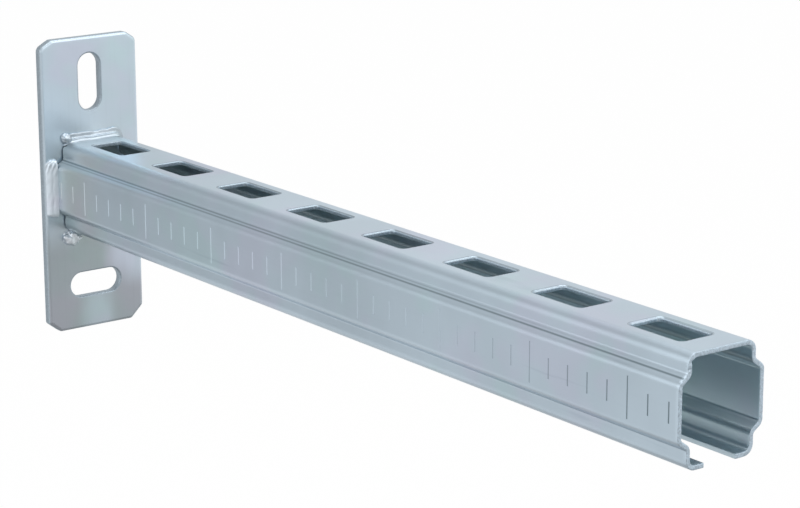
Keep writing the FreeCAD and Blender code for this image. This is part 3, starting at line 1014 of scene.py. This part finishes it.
def zinc(name, finish):
    """Passivated zinc plating over rolled steel, or weld metal."""
    material = bpy.data.materials.new(name)
    material.use_nodes = True
    tree = material.node_tree
    shader = tree.nodes["Principled BSDF"]
    shader.inputs["Metallic"].default_value = 1.0
    coords = tree.nodes.new("ShaderNodeTexCoord").outputs["Object"]
    cut, crease, inner = (
        wire(tree, "ShaderNodeAttribute", attribute_name=label).outputs["Fac"]
        for label in ("cut", "crease", "inner")
    )
    broad = cloud(tree, coords, BROAD)
    streak = cloud(tree, coords, STREAK._replace(stretch=finish.rolling))
    speck = cloud(tree, coords, SPECK)
    colour = plated_colour(tree, coords, finish, inner, broad, streak)
    # Painted shade, blended in where the vertices are marked for it
    shade_share = ramp(tree, crease, *PAINTED_SHADE_RANGE, 0.0, PAINTED_SHADE_MOST)
    colour = blend(tree, shade_share, colour, tint(finish.base, PAINTED_SHADE_COLOUR))
    dark, light = (tint(finish.base, shade) for shade in finish.cut_shades)
    grainy = blend(tree, ramp(tree, speck, *SPECK_RANGE), dark, light)
    tree.links.new(blend(tree, cut, colour, grainy), shader.inputs["Base Color"])
    rough = ramp(tree, speck, *SPECK_WIDE_RANGE, *finish.roughness)
    for mark, added in ((inner, INNER_ROUGH), (cut, CUT_ROUGH)):
        added_up = wire(tree, "ShaderNodeMath", {0: mark, 1: added, 2: rough}, operation="MULTIPLY_ADD")
        rough = added_up.outputs[0]
    tree.links.new(rough, shader.inputs["Roughness"])
    tree.links.new(zinc_relief(tree, finish, cut, broad, streak, speck), shader.inputs["Normal"])
    return material


# Stage, light and camera


def lit_white(name, colour, share):
    """Pale matt surface that the camera sees near white, as far as the share says."""
    material = bpy.data.materials.new(name)
    material.use_nodes = True
    tree = material.node_tree
    shader = tree.nodes["Principled BSDF"]
    shader.inputs["Base Color"].default_value = (*colour, 1.0)
    shader.inputs["Roughness"].default_value = FLOOR_ROUGHNESS
    glow = wire(tree, "ShaderNodeEmission", {"Color": (1, 1, 1, 1), "Strength": 1.0})
    path = tree.nodes.new("ShaderNodeLightPath")
    part = wire(tree, "ShaderNodeMath", {0: path.outputs["Is Camera Ray"], 1: share}, operation="MULTIPLY")
    mixed = wire(tree, "ShaderNodeMixShader",
                 {0: part.outputs[0], 1: shader.outputs[0], 2: glow.outputs[0]})
    tree.links.new(mixed.outputs[0], tree.nodes["Material Output"].inputs["Surface"])
    return material


def make_floor():
    """Wide round floor below the arm, hidden from the metal's reflections."""
    skin = Skin()
    angles = np.linspace(0, 2 * math.pi, FLOOR_SIDES + 1)[:-1]
    rim = [(FLOOR_REACH * math.cos(angle), FLOOR_REACH * math.sin(angle), FLOOR_LEVEL) for angle in angles]
    skin.faces.append(tuple(skin.ring(rim)))
    floor = skin.piece("floor", lit_white("floor_white", FLOOR_COLOUR, FLOOR_GLOW))
    floor.visible_glossy = False


def make_world():
    """Studio surround, white to the camera and with softer tones in the metal's reflections."""
    world = bpy.data.worlds.new("studio")
    bpy.context.scene.world = world
    world.use_nodes = True
    tree = world.node_tree
    tree.nodes.clear()

    def combined(operation, *values):
        result = values[0]
        for value in values[1:]:
            result = wire(tree, "ShaderNodeMath", {0: result, 1: value}, operation=operation).outputs[0]
        return result

    coords = tree.nodes.new("ShaderNodeTexCoord").outputs["Generated"]
    split = wire(tree, "ShaderNodeSeparateXYZ", {0: coords})
    x, y, z = (split.outputs[axis] for axis in "XYZ")
    dim = combined("MULTIPLY", ramp(tree, x, *WALL_X), ramp(tree, y, *WALL_Y),
                   ramp(tree, z, *WALL_ABOVE), ramp(tree, z, *WALL_BELOW))
    wall = wire(tree, "ShaderNodeMath", {0: dim, 1: WALL_DIM, 2: 1.0}, operation="MULTIPLY_ADD").outputs[0]
    far = ramp(tree, x, *FAR_X, 1.0, FAR_TONE)
    behind = ramp(tree, x, *BEHIND_X, *BEHIND_DROP)
    beside = ramp(tree, y, *BESIDE_Y, *BESIDE_DROP)
    before = ramp(tree, y, *BEFORE_Y, *BEFORE_DROP)
    ground = ramp(tree, combined("ADD", z, behind, beside, before), *GROUND_Z, GROUND_TONE, 1.0)
    high = ramp(tree, z, *HIGH_Z, 1.0, HIGH_TONE)
    strength = combined("MULTIPLY", wall, far, ground, high, SURROUND)
    surround = wire(tree, "ShaderNodeBackground", {"Color": (1, 1, 1, 1), "Strength": strength})
    white = wire(tree, "ShaderNodeBackground", {"Color": (1, 1, 1, 1), "Strength": 1.0})
    path = tree.nodes.new("ShaderNodeLightPath")
    mixed = wire(tree, "ShaderNodeMixShader",
                 {0: path.outputs["Is Camera Ray"], 1: surround.outputs[0], 2: white.outputs[0]})
    out = tree.nodes.new("ShaderNodeOutputWorld")
    tree.links.new(mixed.outputs[0], out.inputs["Surface"])


def soft_light(name, place, aim, size, radiance):
    """Large area light. radiance is how bright its face looks, where 1 is white."""
    lamp = bpy.data.lights.new(name, "AREA")
    lamp.shape = "RECTANGLE"
    lamp.size, lamp.size_y = size
    lamp.energy = radiance * math.pi * size[0] * size[1]
    made = bpy.data.objects.new(name, lamp)
    made.location = place
    made.rotation_mode = "QUATERNION"
    made.rotation_quaternion = (Vector(aim) - Vector(place)).to_track_quat("-Z", "Y")
    bpy.context.scene.collection.objects.link(made)


def make_lights():
    """Soft boxes on the graduated side, overhead and by the camera, and a small one for the rims."""
    for name, (place, aim, size, radiance) in SOFT_BOXES.items():
        soft_light(name, place, aim, size, radiance)


def make_camera():
    """Camera solved from the photograph."""
    lens = bpy.data.cameras.new("camera")
    lens.lens = LENS_MM
    lens.sensor_width = SENSOR_MM
    lens.clip_start, lens.clip_end = CLIP
    made = bpy.data.objects.new("camera", lens)
    axes = Matrix((CAMERA_RIGHT, CAMERA_UP, CAMERA_BACK)).transposed()
    made.matrix_world = Matrix.Translation(CAMERA_PLACE) @ axes.to_4x4()
    bpy.context.scene.collection.objects.link(made)
    bpy.context.scene.camera = made


def main():
    """The dressed arm in its studio."""
    bpy.context.scene.view_settings.view_transform = "Standard"
    make_camera()
    make_channel(zinc("channel_zinc", CHANNEL_ZINC))
    make_plate(zinc("plate_zinc", PLATE_ZINC))
    # Painted shade and painted light: darker weld metal for the top bead, lighter for the side beads and
    # palest for the tacks
    weld_metal = {"weld_painted_darker": WELD_DARKER_COPY, "weld_painted_lighter": WELD_LIGHTER_COPY, "weld_painted_palest": WELD_PALEST_COPY}
    make_welds(*(zinc(name, finish) for name, finish in weld_metal.items()))
    make_floor()
    make_world()
    make_lights()


main()
